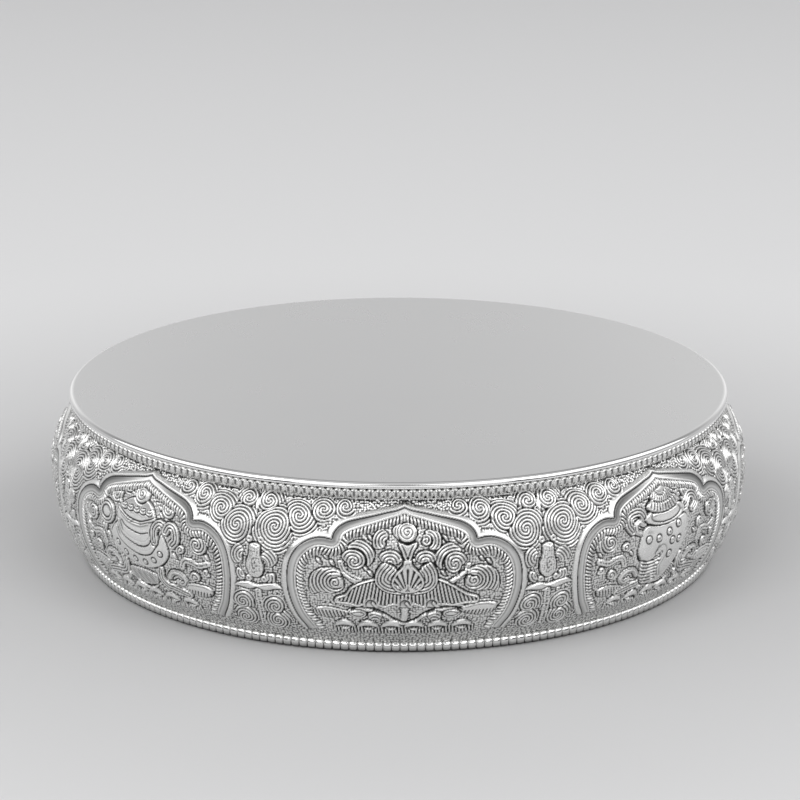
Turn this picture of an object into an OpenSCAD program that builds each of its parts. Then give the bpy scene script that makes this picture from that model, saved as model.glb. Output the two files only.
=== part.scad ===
// Mandala offering plate in chased silver: a flat plain plate on a bulged drum wall
// with eight cusped arches, edged by a bead wire under the rim and another at the foot.
// Millimetres, +Z up, origin at the centre of the foot's resting plane, front panel at -Y.

/* [Plate] */
// Height from the table to the plate's face
height = 28.5; // [25:0.1:36]
// Diameter of the plate over its rim
plate_d = 112.9; // [95:0.1:150]
// Thickness of the plate's sheet
plate_t = 0.6; // [0.4:0.05:1.2]
// Width of the turned-down rim, from its outside to the neck
rim_w = 1.75; // [1.2:0.05:2.5]
// Depth of the rim below the plate's underside
rim_lap = 0.3; // [0.2:0.05:1]
// Rounding of the plate's upper edge
rim_round = 0.75; // [0.2:0.05:0.8]

/* [Rim beads] */
// Height of the beads under the rim
rim_bead_d = 1.5; // [1:0.02:2]
// Thickness of the wire between two of those beads
rim_bead_neck = 0.78; // [0.5:0.02:0.95]
// Shadow gap between the beads and the shoulder of the wall
rim_bead_gap = 0.3; // [0.1:0.05:1]

/* [Wall] */
// Thickness of the wall's sheet
wall_t = 0.9; // [0.6:0.05:1.4]
// How far the belly stands out from the neck
bulge = 4.7; // [2:0.05:8]
// Height of the belly, where the wall is widest
belly_z = 16; // [12:0.1:19]
// How far the wall draws in from the belly to its lower turn
tuck = 3.1; // [1.5:0.05:6]
// Width of the ledge that turns in below the wall
ledge_w = 2.25; // [1:0.05:4]
// Height of that ledge
ledge_h = 2.3; // [1:0.05:4]

/* [Foot wire] */
// Diameter of the foot wire over its beads
foot_wire_d = 1.8; // [1.5:0.05:3]
// Thickness of the foot wire between two beads
foot_wire_neck = 1.23; // [0.6:0.01:1.4]
// Depth of the flat filed on the underside of the foot
foot_flat = 0.1; // [0.05:0.01:0.3]
// Depth of the flat on top of the wire, where the wall is soldered on
seat_flat = 0.1; // [0.05:0.01:0.3]

/* [Arched panels] */
// Width of wall left between two frames at the belly
spandrel_w = 9.4; // [6:0.1:16]
// Width of wall left between two frames at their feet
spandrel_foot_w = 14.2; // [8:0.1:20]
// Distance from the shoulder of the wall down to the apex of an arch
apex_gap = 0.75; // [0.3:0.05:2]
// Height of the pointed head, from its cusps to the apex
head_h = 5; // [3:0.1:7]
// How far each cusp lies inside the widest point of the frame
cusp_in = 7; // [4:0.1:9]
// Radius of the side lobes
lobe_r = 6.3; // [4:0.1:8]
// Radius of the shoulders of the pointed head
head_r = 3; // [2.9:0.1:4]
// Distance from the lower turn of the wall up to the feet of a frame
frame_lift = 0.3; // [0.1:0.05:2]

/* [Panel relief] */
// Width of the plain moulding
mould_w = 1.7; // [1:0.05:2]
// Height of the plain moulding
mould_h = 0.55; // [0.2:0.05:1]
// Clear width between the moulding and the row of petals
petal_margin = 1.1; // [0.5:0.05:1.2]
// Spacing of the lotus petals at the foot of a panel
petal_pitch = 3.6; // [2.6:0.1:5]
// Radius of the ball that shapes a petal
petal_r = 1.75; // [1.4:0.05:2.6]
// Height of a petal above the wall
petal_h = 0.6; // [0.3:0.05:1]
// Radius of the ball that shapes the body of a symbol
body_r = 4; // [3:0.1:4.4]
// Height of that body above the wall
body_h = 0.75; // [0.3:0.05:0.9]
// Distance from the belly down to the middle of that body
body_drop = 2.7; // [2.6:0.1:4]

/* [Hidden] */
// Eight panels, one for each of the eight auspicious symbols
panel_count = 8;
// Gap left for solder round a seated piece
solder_gap = 0.05;
// How deep a raised form is rooted in the sheet
root = 0.3;
// Straight steps along the curved side of a frame
side_steps = 4;
$fn = 96;

// Plate, rim and neck
rim_r = plate_d / 2;
neck_r = rim_r - rim_w;
seat_top_z = height - plate_t;
rim_z = seat_top_z - rim_lap;
rim_round_r = min(rim_round, plate_t + rim_lap, rim_w);

// Beads under the rim
rim_bead_r = rim_bead_d / 2;
rim_bead_ring_r = neck_r + solder_gap + rim_bead_r;
rim_bead_z = rim_z - solder_gap - rim_bead_r;
shoulder_z = rim_z - solder_gap - rim_bead_d - rim_bead_gap;

// Foot wire
foot_wire_r = foot_wire_d / 2;
foot_wire_z = foot_wire_r - foot_flat;
seat_low_z = foot_wire_d - foot_flat - seat_flat;

// Wall: an upper and a lower arc that meet upright at the belly
belly_r = neck_r + bulge;
turn_r = belly_r - tuck;
turn_z = seat_low_z + ledge_h;
foot_out_r = turn_r - ledge_w;
foot_ring_r = foot_out_r - wall_t / 2;
upper_arc_r = arc_radius(bulge, shoulder_z - belly_z);
lower_arc_r = arc_radius(tuck, belly_z - turn_z);
upper_arc_x = belly_r - upper_arc_r;
lower_arc_x = belly_r - lower_arc_r;
neck_in_z = belly_z + chord_half(upper_arc_r - wall_t, neck_r - wall_t - upper_arc_x);
turn_in_r = lower_arc_x + chord_half(lower_arc_r - wall_t, belly_z - turn_z);

// Frame of a panel, drawn as seen square on: x across, y up
panel_step = 360 / panel_count;
apex_z = shoulder_z - apex_gap;
cusp_z = apex_z - head_h;
frame_z = turn_z + frame_lift;
lobe_z = cusp_z - lobe_r;
panel_half = belly_r * sin(panel_step / 2 - arc_angle(spandrel_w / 2, belly_r));
foot_half = turn_r * sin(panel_step / 2 - arc_angle(spandrel_foot_w / 2, turn_r));
side_arc_r = arc_radius(panel_half - foot_half, lobe_z - frame_z);
side_arc_x = panel_half - side_arc_r;
lobe_x = panel_half - lobe_r;
head_x = panel_half - cusp_in - head_r;
raise_from = panel_half / tan(panel_step / 2) + bulge;
keel_angle = atan2(head_h, -head_x) - acos(head_r / norm([head_x, head_h]));

// Petals
petal_count = floor(2 * (foot_half - mould_w - petal_margin) / petal_pitch);
petal_angle = arc_angle(petal_pitch, turn_r);
petal_z = frame_z + petal_r * 0.7;

// Body of the symbol on each panel
body_z = belly_z - body_drop;

// Radius of an arc that starts upright and moves in by dr over a height dz
function arc_radius(dr, dz) = (dr * dr + dz * dz) / (2 * dr);
// Half chord of a circle of radius r at a distance d from its centre
function chord_half(r, d) = sqrt(r * r - d * d);
// Angle of an arc of the given length on a circle of radius r
function arc_angle(length, r) = length / r * 180 / PI;
// Radius of the wall's outside at a height z between the turn and the shoulder
function wall_r(z) = z > belly_z
    ? upper_arc_x + chord_half(upper_arc_r, z - belly_z)
    : lower_arc_x + chord_half(lower_arc_r, belly_z - z);

module top_plate() {
    color("gainsboro") rotate_extrude() {
        translate([0, seat_top_z]) square([rim_r - rim_round_r, plate_t]);
        translate([neck_r + solder_gap, rim_z])
            square([rim_w - solder_gap, plate_t + rim_lap - rim_round_r]);
        intersection() {
            translate([rim_r - rim_round_r, height - rim_round_r]) circle(rim_round_r);
            translate([neck_r + solder_gap, rim_z])
                square([rim_w, plate_t + rim_lap]);
        }
        translate([neck_r + solder_gap, rim_z])
            square([rim_w - solder_gap - rim_round_r, plate_t + rim_lap]);
    }
}

// A ring of overlapping beads, joined panel by panel, with the given neck between beads
module bead_ring(ring_r, bead_d, neck_d) {
    pitch = sqrt(bead_d * bead_d - neck_d * neck_d);
    share = round(2 * PI * ring_r / pitch / panel_count);
    for (k = [0 : panel_count - 1]) rotate(k * panel_step) union()
        for (i = [0 : share - 1])
            rotate(i * panel_step / share) translate([ring_r, 0, 0]) sphere(d = bead_d);
}

// Beaded wire soldered round the neck under the rim
module rim_bead_wire() {
    color("silver") translate([0, 0, rim_bead_z])
        bead_ring(rim_bead_ring_r, rim_bead_d, rim_bead_neck);
}

// Half section from the axis to the wall's upper arc, drawn in by inset
module upper_fill(inset) {
    intersection() {
        union() {
            translate([upper_arc_x, belly_z]) circle(upper_arc_r - inset);
            translate([0, belly_z]) square([upper_arc_x, shoulder_z - belly_z]);
        }
        translate([0, belly_z]) square([2 * belly_r, shoulder_z - belly_z]);
    }
}

// Half section from the axis to the wall's lower arc, drawn in by inset
module lower_fill(inset) {
    intersection() {
        union() {
            translate([lower_arc_x, belly_z]) circle(lower_arc_r - inset);
            translate([0, turn_z]) square([lower_arc_x, belly_z - turn_z]);
        }
        translate([0, turn_z]) square([2 * belly_r, belly_z - turn_z]);
    }
}

// Point on the side of a frame, drawn in by inset, at an angle down its arc
function side_point(inset, a) =
    [side_arc_x + (side_arc_r - inset) * cos(a), lobe_z - (side_arc_r - inset) * sin(a)];

// Right half of the space inside a frame, drawn in by inset
module half_panel(inset) {
    keel = [cos(keel_angle), sin(keel_angle)];
    side_angle = asin((lobe_z - frame_z) / (side_arc_r - inset));
    polygon([
        for (i = [0 : side_steps]) side_point(inset, i * side_angle / side_steps),
        [0, frame_z],
        [0, lobe_z]
    ]);
    translate([lobe_x, lobe_z]) circle(lobe_r - inset);
    translate([0, lobe_z]) square([lobe_x, lobe_r - inset]);
    translate([head_x, cusp_z]) circle(head_r - inset);
    polygon([
        [0, lobe_z],
        [head_x, lobe_z],
        [head_x, cusp_z],
        [head_x, cusp_z] + (head_r - inset) * keel,
        [0, apex_z - inset / keel[1]]
    ]);
}

module panel(inset) {
    half_panel(inset);
    mirror([1, 0]) half_panel(inset);
}

// Band of a frame between two insets
module frame_band(outer, inner) {
    difference() {
        panel(outer);
        panel(inner);
    }
}

// A flat shape stood up square on every panel
module on_panels() {
    for (i = [0 : panel_count - 1]) rotate([90, 0, i * panel_step])
        translate([0, 0, raise_from]) linear_extrude(bulge + belly_r - raise_from) children();
}

// A half section turned about the axis, with its seam between two panels
module turned() {
    rotate(panel_step / 2) rotate_extrude() children();
}

// Skin over the upper half of the wall, from its root in the sheet to a height h
module upper_skin(h) {
    turned() difference() {
        upper_fill(-h);
        upper_fill(root);
    }
}

// Skin over the lower half of the wall, from its root in the sheet to a height h
module lower_skin(h) {
    turned() difference() {
        lower_fill(-h);
        lower_fill(root);
    }
}

// Row of lotus petals along the foot of a panel
module petal_row() {
    ring = wall_r(petal_z) + petal_h - petal_r;
    for (i = [0 : petal_count - 1])
        rotate((i - (petal_count - 1) / 2) * petal_angle)
            translate([0, -ring, petal_z]) sphere(petal_r);
}

// Rounded body of the symbol in the middle of a panel
module symbol_body() {
    translate([0, body_r - body_h - wall_r(body_z), body_z]) sphere(body_r);
}

// Neck and upper half of the wall with the heads of the arches
module upper_wall() {
    turned() {
        difference() {
            upper_fill(0);
            upper_fill(wall_t);
        }
        translate([neck_r - wall_t, neck_in_z]) square([wall_t, seat_top_z - neck_in_z]);
    }
    intersection() {
        on_panels() frame_band(0, mould_w);
        upper_skin(mould_h);
    }
}

// Lower half of the wall with its ledge, the sides of the arches, the petals and symbols
module lower_wall() {
    turned() {
        difference() {
            lower_fill(0);
            lower_fill(wall_t);
        }
        polygon([
            [turn_r, turn_z],
            [foot_out_r, seat_low_z],
            [foot_out_r - wall_t, seat_low_z],
            [turn_in_r, turn_z]
        ]);
    }
    intersection() {
        on_panels() frame_band(0, mould_w);
        lower_skin(mould_h);
    }
    intersection() {
        for (i = [0 : panel_count - 1]) rotate(i * panel_step) {
            petal_row();
            symbol_body();
        }
        lower_skin(petal_h + body_h);
    }
}

module side_wall() {
    color("silver") {
        upper_wall();
        lower_wall();
    }
}

// Beaded foot wire, flat where it stands and where the wall is soldered on
module foot_bead_wire() {
    color("silver") intersection() {
        translate([0, 0, foot_wire_z]) bead_ring(foot_ring_r, foot_wire_d, foot_wire_neck);
        cylinder(r = 2 * foot_ring_r, h = seat_low_z);
    }
}

top_plate();
rim_bead_wire();
side_wall();
foot_bead_wire();
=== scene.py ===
# %% [markdown]
# # A chased silver offering plate
# This lesson dresses a CAD model of a mandala offering plate: a flat disc on a bulged drum
# wall with eight chased panels, edged by a beaded wire under the rim and another at the
# foot. The CAD model is the fixed frame, and everything here is made around it, in metres.

import math

import bmesh
import bpy
import numpy as np
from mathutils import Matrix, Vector


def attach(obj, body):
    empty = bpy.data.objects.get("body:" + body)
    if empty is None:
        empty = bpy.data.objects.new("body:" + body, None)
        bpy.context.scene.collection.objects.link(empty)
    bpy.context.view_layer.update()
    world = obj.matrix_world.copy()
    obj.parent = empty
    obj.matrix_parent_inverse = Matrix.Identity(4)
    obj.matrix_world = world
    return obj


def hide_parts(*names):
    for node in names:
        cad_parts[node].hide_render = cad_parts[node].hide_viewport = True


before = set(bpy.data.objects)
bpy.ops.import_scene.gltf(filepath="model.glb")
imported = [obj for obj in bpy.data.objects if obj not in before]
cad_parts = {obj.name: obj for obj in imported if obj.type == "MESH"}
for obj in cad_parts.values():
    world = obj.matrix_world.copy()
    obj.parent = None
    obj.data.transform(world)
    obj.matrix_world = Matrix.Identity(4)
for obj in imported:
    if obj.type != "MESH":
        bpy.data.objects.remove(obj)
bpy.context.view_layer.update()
scene = bpy.context.scene
MM = 0.001
print("CAD nodes:", sorted(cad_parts))

# %% [markdown]
# ## Finishes
# Every piece is silver, finished in three ways: the disc is satin, with a faint brushed
# cloudiness; the wires are burnished by the beading tool; the chased wall is bright on
# its ridges and rougher in its recesses, where shade is painted into its colour. A texture
# painted apart from the shape could slip against it, so the wall and the wires carry an
# attribute, recess, made with their shape, and their materials read it for roughness and
# for the shade painted into their colour.

# %% Node helpers


def new_finish(name):
    """A metal material with its shader and its pattern coordinates."""
    mat = bpy.data.materials.new(name)
    mat.use_nodes = True
    nodes = mat.node_tree.nodes
    nodes.clear()
    out = nodes.new("ShaderNodeOutputMaterial")
    shader = nodes.new("ShaderNodeBsdfPrincipled")
    shader.inputs["Metallic"].default_value = 1.0
    mat.node_tree.links.new(shader.outputs["BSDF"], out.inputs["Surface"])
    place = nodes.new("ShaderNodeTexCoord")
    return mat, shader, place.outputs["Object"]


def link(mat, source, target):
    """Joins two sockets of a material or a world."""
    mat.node_tree.links.new(source, target)


def grain(mat, place, scale, detail=4.0, stretch=(1, 1, 1)):
    """Noise on the object's own coordinates, stretched along its axes."""
    nodes = mat.node_tree.nodes
    turn = nodes.new("ShaderNodeMapping")
    turn.inputs["Scale"].default_value = stretch
    tex = nodes.new("ShaderNodeTexNoise")
    tex.inputs["Scale"].default_value = scale
    tex.inputs["Detail"].default_value = detail
    link(mat, place, turn.inputs["Vector"])
    link(mat, turn.outputs["Vector"], tex.inputs["Vector"])
    return tex.outputs["Fac"]


def spread(mat, value, low, high, start=0.0, end=1.0):
    """Maps a value from one range to another."""
    node = mat.node_tree.nodes.new("ShaderNodeMapRange")
    node.inputs["From Min"].default_value = start
    node.inputs["From Max"].default_value = end
    node.inputs["To Min"].default_value = low
    node.inputs["To Max"].default_value = high
    link(mat, value, node.inputs["Value"])
    return node.outputs["Result"]


def combine(mat, how, a, b):
    """Adds or multiplies two values."""
    node = mat.node_tree.nodes.new("ShaderNodeMath")
    node.operation = how
    link(mat, a, node.inputs[0])
    link(mat, b, node.inputs[1])
    return node.outputs["Value"]


def shades(mat, value, stops):
    """A colour ramp over a value, from stops of a place and a colour."""
    node = mat.node_tree.nodes.new("ShaderNodeValToRGB")
    ramp = node.color_ramp
    while len(ramp.elements) < len(stops):
        ramp.elements.new(1.0)
    for element, (where, colour) in zip(ramp.elements, stops):
        element.position = where
        element.color = (*colour, 1.0)
    link(mat, value, node.inputs["Fac"])
    return node.outputs["Color"]


def dent(mat, shader, height, strength, distance):
    """Feeds a fine height to the shader's normal."""
    node = mat.node_tree.nodes.new("ShaderNodeBump")
    node.inputs["Strength"].default_value = strength
    node.inputs["Distance"].default_value = distance
    link(mat, height, node.inputs["Height"])
    link(mat, node.outputs["Normal"], shader.inputs["Normal"])


def recess_of(mat):
    """The piece's own recess attribute, 0 where it is brightest and 1 where most shade is painted into its
    colour.
    """
    node = mat.node_tree.nodes.new("ShaderNodeAttribute")
    node.attribute_name = "recess"
    return node.outputs["Fac"]


# %% Satin disc
SATIN_SHADES = [(0.2, (0.80, 0.80, 0.80)), (0.8, (0.88, 0.88, 0.875))]
EDGE_FROM = 55.5 * MM
EDGE_TO = 55.8 * MM
EDGE_POLISH = 0.35
plate_silver, shader, place = new_finish("plate_silver")
cloud = grain(plate_silver, place, scale=38.0, detail=3.0)
brushed = grain(plate_silver, place, scale=700.0, detail=5.0, stretch=(1.0, 0.18, 1.0))
tone = combine(plate_silver, "ADD", spread(plate_silver, cloud, 0.0, 0.7),
               spread(plate_silver, brushed, 0.0, 0.3))
link(plate_silver, shades(plate_silver, tone, SATIN_SHADES), shader.inputs["Base Color"])
flat = plate_silver.node_tree.nodes.new("ShaderNodeVectorMath")
flat.operation = "MULTIPLY"
flat.inputs[1].default_value = (1, 1, 0)
away = plate_silver.node_tree.nodes.new("ShaderNodeVectorMath")
away.operation = "LENGTH"
link(plate_silver, place, flat.inputs[0])
link(plate_silver, flat.outputs["Vector"], away.inputs[0])
edge = spread(plate_silver, away.outputs["Value"], 1.0, EDGE_POLISH, EDGE_FROM, EDGE_TO)
satin = spread(plate_silver, tone, low=0.22, high=0.30, start=0.2, end=0.8)
link(plate_silver, combine(plate_silver, "MULTIPLY", satin, edge), shader.inputs["Roughness"])
dent(plate_silver, shader, brushed, strength=0.02, distance=0.02 * MM)

# %% Burnished wires
WIRE_SHADES = [(0.0, (0.92, 0.92, 0.91)), (0.55, (0.62, 0.62, 0.61)), (1.0, (0.1, 0.1, 0.1))]
wire_silver, shader, place = new_finish("wire_silver")
worn = grain(wire_silver, place, scale=900.0, detail=3.0)
hollow = recess_of(wire_silver)
# Painted shade: the colour darkens with the recess, in the gaps between beads, as a dark reflection on the
# rim beads' crowns and on the foot wire's lower side.
link(wire_silver, shades(wire_silver, hollow, WIRE_SHADES), shader.inputs["Base Color"])
rough = combine(wire_silver, "ADD", spread(wire_silver, worn, 0.1, 0.16),
                spread(wire_silver, hollow, 0.0, 0.2))
link(wire_silver, rough, shader.inputs["Roughness"])
dent(wire_silver, shader, worn, strength=0.1, distance=0.02 * MM)

# %% Chased wall
CHASED_SHADES = [(0.0, (0.9, 0.9, 0.89)), (0.35, (0.5, 0.5, 0.495)), (1.0, (0.04, 0.04, 0.04))]
chased_silver, shader, place = new_finish("chased_silver")
worn = grain(chased_silver, place, scale=1400.0, detail=4.0)
patch = grain(chased_silver, place, scale=60.0, detail=2.0)
hollow = recess_of(chased_silver)
# Painted shade: the colour darkens with the recess, in grooves, under raised forms and in the frame's
# channel; the patch noise varies the tone at random.
darkening = combine(chased_silver, "ADD", hollow, spread(chased_silver, patch, -0.08, 0.08))
link(chased_silver, shades(chased_silver, darkening, CHASED_SHADES), shader.inputs["Base Color"])
rough = combine(chased_silver, "ADD", spread(chased_silver, worn, 0.24, 0.32),
                spread(chased_silver, hollow, 0.0, 0.2))
link(chased_silver, rough, shader.inputs["Roughness"])
dent(chased_silver, shader, worn, strength=0.15, distance=0.03 * MM)
print("finishes:", [m.name for m in (plate_silver, wire_silver, chased_silver)])

# %% [markdown]
# ## The wall laid flat
# The real wall is one sheet of silver, raised from a disc and chased from both sides.
# A chaser works on it as if it were flat, so the ornament here is drawn flat too: s runs
# round the wall from the middle of a panel, t runs up its curve from the belly, and a
# height says how far the silver stands out. Sculpting by hand would give no two even
# ridges, and a bump texture would leave the mesh itself smooth. So each chasing tool is
# a small function on arrays of s and t, in millimetres, and the heights later push out
# the vertices of a fine grid.

# %% Profile of the wall
BELLY_R = 59.4
BELLY_Z = 16.0
NECK_R = 54.7
SHOULDER_Z = 25.75
TURN_R = 56.3
TURN_Z = 3.9
LEDGE_R = 54.05
SEAT_Z = 1.6
WALL_T = 0.9
DRAWING_R = 59.6
PANELS = 8


def arc_radius(move, rise):
    """Radius of an arc that starts upright and moves in over a rise."""
    return (move ** 2 + rise ** 2) / (2 * move)


UPPER_R = arc_radius(BELLY_R - NECK_R, SHOULDER_Z - BELLY_Z)
LOWER_R = arc_radius(BELLY_R - TURN_R, BELLY_Z - TURN_Z)


def up(z):
    """Length up the wall's curve from the belly to a height z above the table."""
    radius = UPPER_R if z > BELLY_Z else LOWER_R
    return radius * math.asin((z - BELLY_Z) / radius)


TURN_T = up(TURN_Z)
SHOULDER_T = up(SHOULDER_Z)
LEDGE_LENGTH = math.hypot(TURN_R - LEDGE_R, TURN_Z - SEAT_Z)
LOW_T = TURN_T - LEDGE_LENGTH
HALF_PITCH = math.pi / PANELS * DRAWING_R
print(f"wall: {SHOULDER_T - LOW_T:.1f} mm up its curve, {2 * HALF_PITCH:.1f} mm a panel")

# %% [markdown]
# ## Chasing tools
# A liner punch cuts a groove, a rounded punch raises a ridge, a matting punch stipples
# the ground. Each is a profile of height against distance, so most of the work is to
# measure how far a point lies from a drawn line, how far along it and on which side.
# Every tool takes the heights so far and gives the new ones; its numbers are millimetres,
# in the order in which its first line names them.

# %% Soft steps and ridges


def smooth(x):
    """A soft step from 0 to 1."""
    x = np.clip(x, 0, 1)
    return x * x * (3 - 2 * x)


def notch(gap, half_w):
    """A soft bell, 1 in its middle, for grooves of a given half width."""
    return np.exp(-(gap / half_w) ** 2)


def hump(gap, half_w):
    """A round hump, 1 in its middle and 0 from a half width outwards."""
    return np.sqrt(np.clip(1 - (gap / half_w) ** 2, 0, 1))


def ridges(phase):
    """Rounded ridges with narrow grooves between them, one for each whole number."""
    cut = 0.5 - 0.5 * np.cos(2 * np.pi * phase)
    return 1 - cut ** 1.4


# %% Lines and outlines
FAR = 99.0


def curve(points, steps=6, closed=False):
    """A smooth line through points given as s and z, as points of s and t."""
    p = np.array([(s, up(z)) for s, z in points], float)
    if closed:
        q = np.vstack([p[-1], p, p[0], p[1]])
    else:
        q = np.vstack([2 * p[0] - p[1], p, 2 * p[-1] - p[-2]])
    out = []
    for a, b, c, d in zip(q[:-3], q[1:-2], q[2:-1], q[3:]):
        for k in np.arange(steps) / steps:
            bend = 2 * b + (c - a) * k + (2 * a - 5 * b + 4 * c - d) * k * k
            out.append(0.5 * (bend + (3 * b - a - 3 * c + d) * k ** 3))
    out.append(out[0] if closed else p[-1])
    return np.array(out)


def moved(points, place, z=0.0, side=1):
    """Points set down at a place and a height, and mirrored where side is -1."""
    return [(place + side * x, z + y) for x, y in points]


def window(path, s, t, margin):
    """The points near enough to a drawn line to be worth measuring."""
    low = path.min(0) - margin
    high = path.max(0) + margin
    return (s > low[0]) & (s < high[0]) & (t > low[1]) & (t < high[1])


def trace(path, s, t, margin=1.6):
    """Distance of each point from a drawn line, the length along it and the direction off it."""
    gap = np.full(s.shape, FAR)
    run = np.zeros(s.shape)
    aim = np.zeros(s.shape)
    win = window(path, s, t, margin)
    x = s[win]
    y = t[win]
    best = np.full(x.shape, FAR)
    along = np.zeros(x.shape)
    off = np.zeros(x.shape)
    done = 0.0
    for (ax, ay), (bx, by) in zip(path[:-1], path[1:]):
        ex = bx - ax
        ey = by - ay
        length = math.hypot(ex, ey) + 1e-9
        k = np.clip(((x - ax) * ex + (y - ay) * ey) / length ** 2, 0, 1)
        dx = x - ax - k * ex
        dy = y - ay - k * ey
        d = np.hypot(dx, dy)
        near = d < best
        best = np.where(near, d, best)
        along = np.where(near, done + k * length, along)
        off = np.where(near, np.arctan2(dy, dx), off)
        done += length
    gap[win] = best
    run[win] = along
    aim[win] = off
    return gap, run, aim


def depth_in(path, s, t, margin=1.6):
    """Distance in from a closed outline: above 0 inside it, below 0 outside."""
    gap = trace(path, s, t, margin)[0]
    win = window(path, s, t, margin)
    x = s[win]
    y = t[win]
    odd = np.zeros(x.shape, bool)
    for (ax, ay), (bx, by) in zip(path[:-1], path[1:]):
        if ay != by:
            crosses = (ay > y) != (by > y)
            odd ^= crosses & (x < ax + (y - ay) * (bx - ax) / (by - ay))
    gap[win] = np.where(odd, gap[win], -gap[win])
    return np.where(win, gap, -FAR)


def inside(points, s, t):
    """Distance in from a smooth closed outline through points of s and z."""
    return depth_in(curve(points, closed=True), s, t)


# %% Stippled ground


def noise(i, j, seed):
    """A fixed number from 0 to 1 for each cell of a lattice."""
    x = np.sin(i * 127.1 + j * 311.7 + seed * 74.7) * 43758.5453
    return x - np.floor(x)


def stipple(s, t, cell=0.42):
    """Grains left by a matting punch, from 0 between them to 1 on top."""
    i = np.floor(s / cell)
    j = np.floor(t / cell)
    gap = np.full(s.shape, 9.0)
    for di in (-1, 0, 1):
        for dj in (-1, 0, 1):
            x = (i + di + 0.15 + 0.7 * noise(i + di, j + dj, 1)) * cell
            y = (j + dj + 0.15 + 0.7 * noise(i + di, j + dj, 2)) * cell
            gap = np.minimum(gap, np.hypot(s - x, t - y))
    return 1 - smooth(gap / (0.75 * cell))


# %% Laid forms and lines


def lay(h, gap, form, edge=0.16, cut=0.12, cut_w=0.13):
    """Lays a form on the sheet inside its outline, with a groove chased along it."""
    k = smooth(gap / edge)
    return h + (form - h) * k - cut * notch(gap, cut_w)


def bead_line(h, gap, half_w, rise):
    """Raises a rounded line where gap is the distance from it."""
    section = hump(gap, half_w)
    return np.where(gap < half_w, h * (1 - section) + (h + rise) * section, h)


# %% Scrolls, arcs and shapes


def scrolls(h, s, t, eyes, pitch=0.54, rise=0.2, ridge=0.24, halo=0.0):
    """Packs comma scrolls. Each eye is s, z, widest radius, hand and the angle of its tail.

    Inside the halo the rings of each scroll run on, lower, till they meet the next."""
    first = np.full(s.shape, FAR)
    second = np.full(s.shape, FAR)
    form = np.zeros(s.shape)
    for s0, z0, radius, hand, tail in eyes:
        dx = s - s0
        dy = t - up(z0)
        turn = np.arctan2(dy, dx)
        d = np.hypot(dx, dy) * (1 + 0.04 * np.sin(2 * turn + s0) + 0.025 * np.sin(3 * turn + z0))
        arms = 2 if radius > 1.5 else 1
        past = hand * (math.radians(tail) - turn) / (2 * np.pi) % 1.0
        gap = d - radius + arms * pitch * np.maximum(past, 1 - smooth(past / 0.14))
        bowl = rise * (1 - 0.5 * np.clip(d / radius, 0, 1) ** 2)
        own = bowl + ridge * ridges((d - radius) / pitch + arms * past + 0.5)
        own = np.where(gap > 0, own - 0.6 * bowl - 0.02, own)
        second = np.minimum(second, np.maximum(gap, first))
        form = np.where(gap < first, own, form)
        first = np.minimum(gap, first)
    form = form - ridge * notch(second - first, 0.2)
    k = smooth((halo - first) / 0.5)
    h = h + (form - h) * k if halo else h
    return lay(h, -first, form, edge=0.2, cut=0.1)


def arcs(h, s, t, eye, radii, angles, pitch=0.52, rise=0.16, ridge=0.24):
    """Nested arcs of ridges round an eye, between two radii and two angles, thinner at their ends."""
    dx = s - eye[0]
    dy = t - up(eye[1])
    d = np.hypot(dx, dy)
    past = (np.degrees(np.arctan2(dy, dx)) - angles[0]) % 360
    ends = np.minimum(past, angles[1] - angles[0] - past)
    outer = radii[0] + (radii[1] - radii[0]) * (0.4 + 0.6 * smooth(ends / 50))
    gap = np.minimum(np.minimum(d - radii[0], outer - d), np.radians(ends) * d)
    swell = 0.1 * np.clip((radii[1] - d) / (radii[1] - radii[0]), 0, 1)
    return lay(h, gap, rise + swell + ridge * ridges((d - radii[1]) / pitch + 0.5))


def striped(h, s, t, points, phase, base=0.16, ridge=0.24, rim=0.0):
    """Lays ridges inside a closed outline, with a rounded rim of a given width."""
    gap = inside(points, s, t)
    form = base + ridge * ridges(phase)
    if rim:
        rounded = np.sin(np.pi * np.clip(gap / rim, 0, 1)) ** 0.6
        form = np.where(gap < rim, base + (ridge + 0.1) * rounded, form)
    return lay(h, gap, form, cut=0.16)


def shape(h, s, t, points, form, edge=0.16, cut=0.14):
    """Lays a form inside a smooth closed outline through points of s and z."""
    return lay(h, inside(points, s, t), form, edge, cut)


def mound(h, s, t, points, base, rise, over, edge=0.16, cut=0.2):
    """Lays a form inside an outline that rises over a distance in from its edge."""
    gap = inside(points, s, t)
    return lay(h, gap, base + rise * smooth(gap / over), edge, cut)


def ring(h, s, t, points, half_w=0.24, rise=0.16):
    """Raises a rounded line through points of s and z."""
    return bead_line(h, trace(curve(points), s, t)[0], half_w, rise)


def cut_line(h, s, t, points, half_w=0.13, depth=0.16):
    """Chases a groove through points of s and z."""
    return h - depth * notch(trace(curve(points), s, t)[0], half_w)


# %% [markdown]
# ## Frames and spandrels
# Eight cusped arches run round the wall. Each frame is a bevel, a groove and a channel that
# slopes down to a fine fillet, with a border of short strokes like a rope inside it.
# Between two frames lies a spandrel packed with cloud scrolls. All frames are alike, so
# one drawing serves all, taken from the middle of a panel to its right and mirrored.

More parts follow.
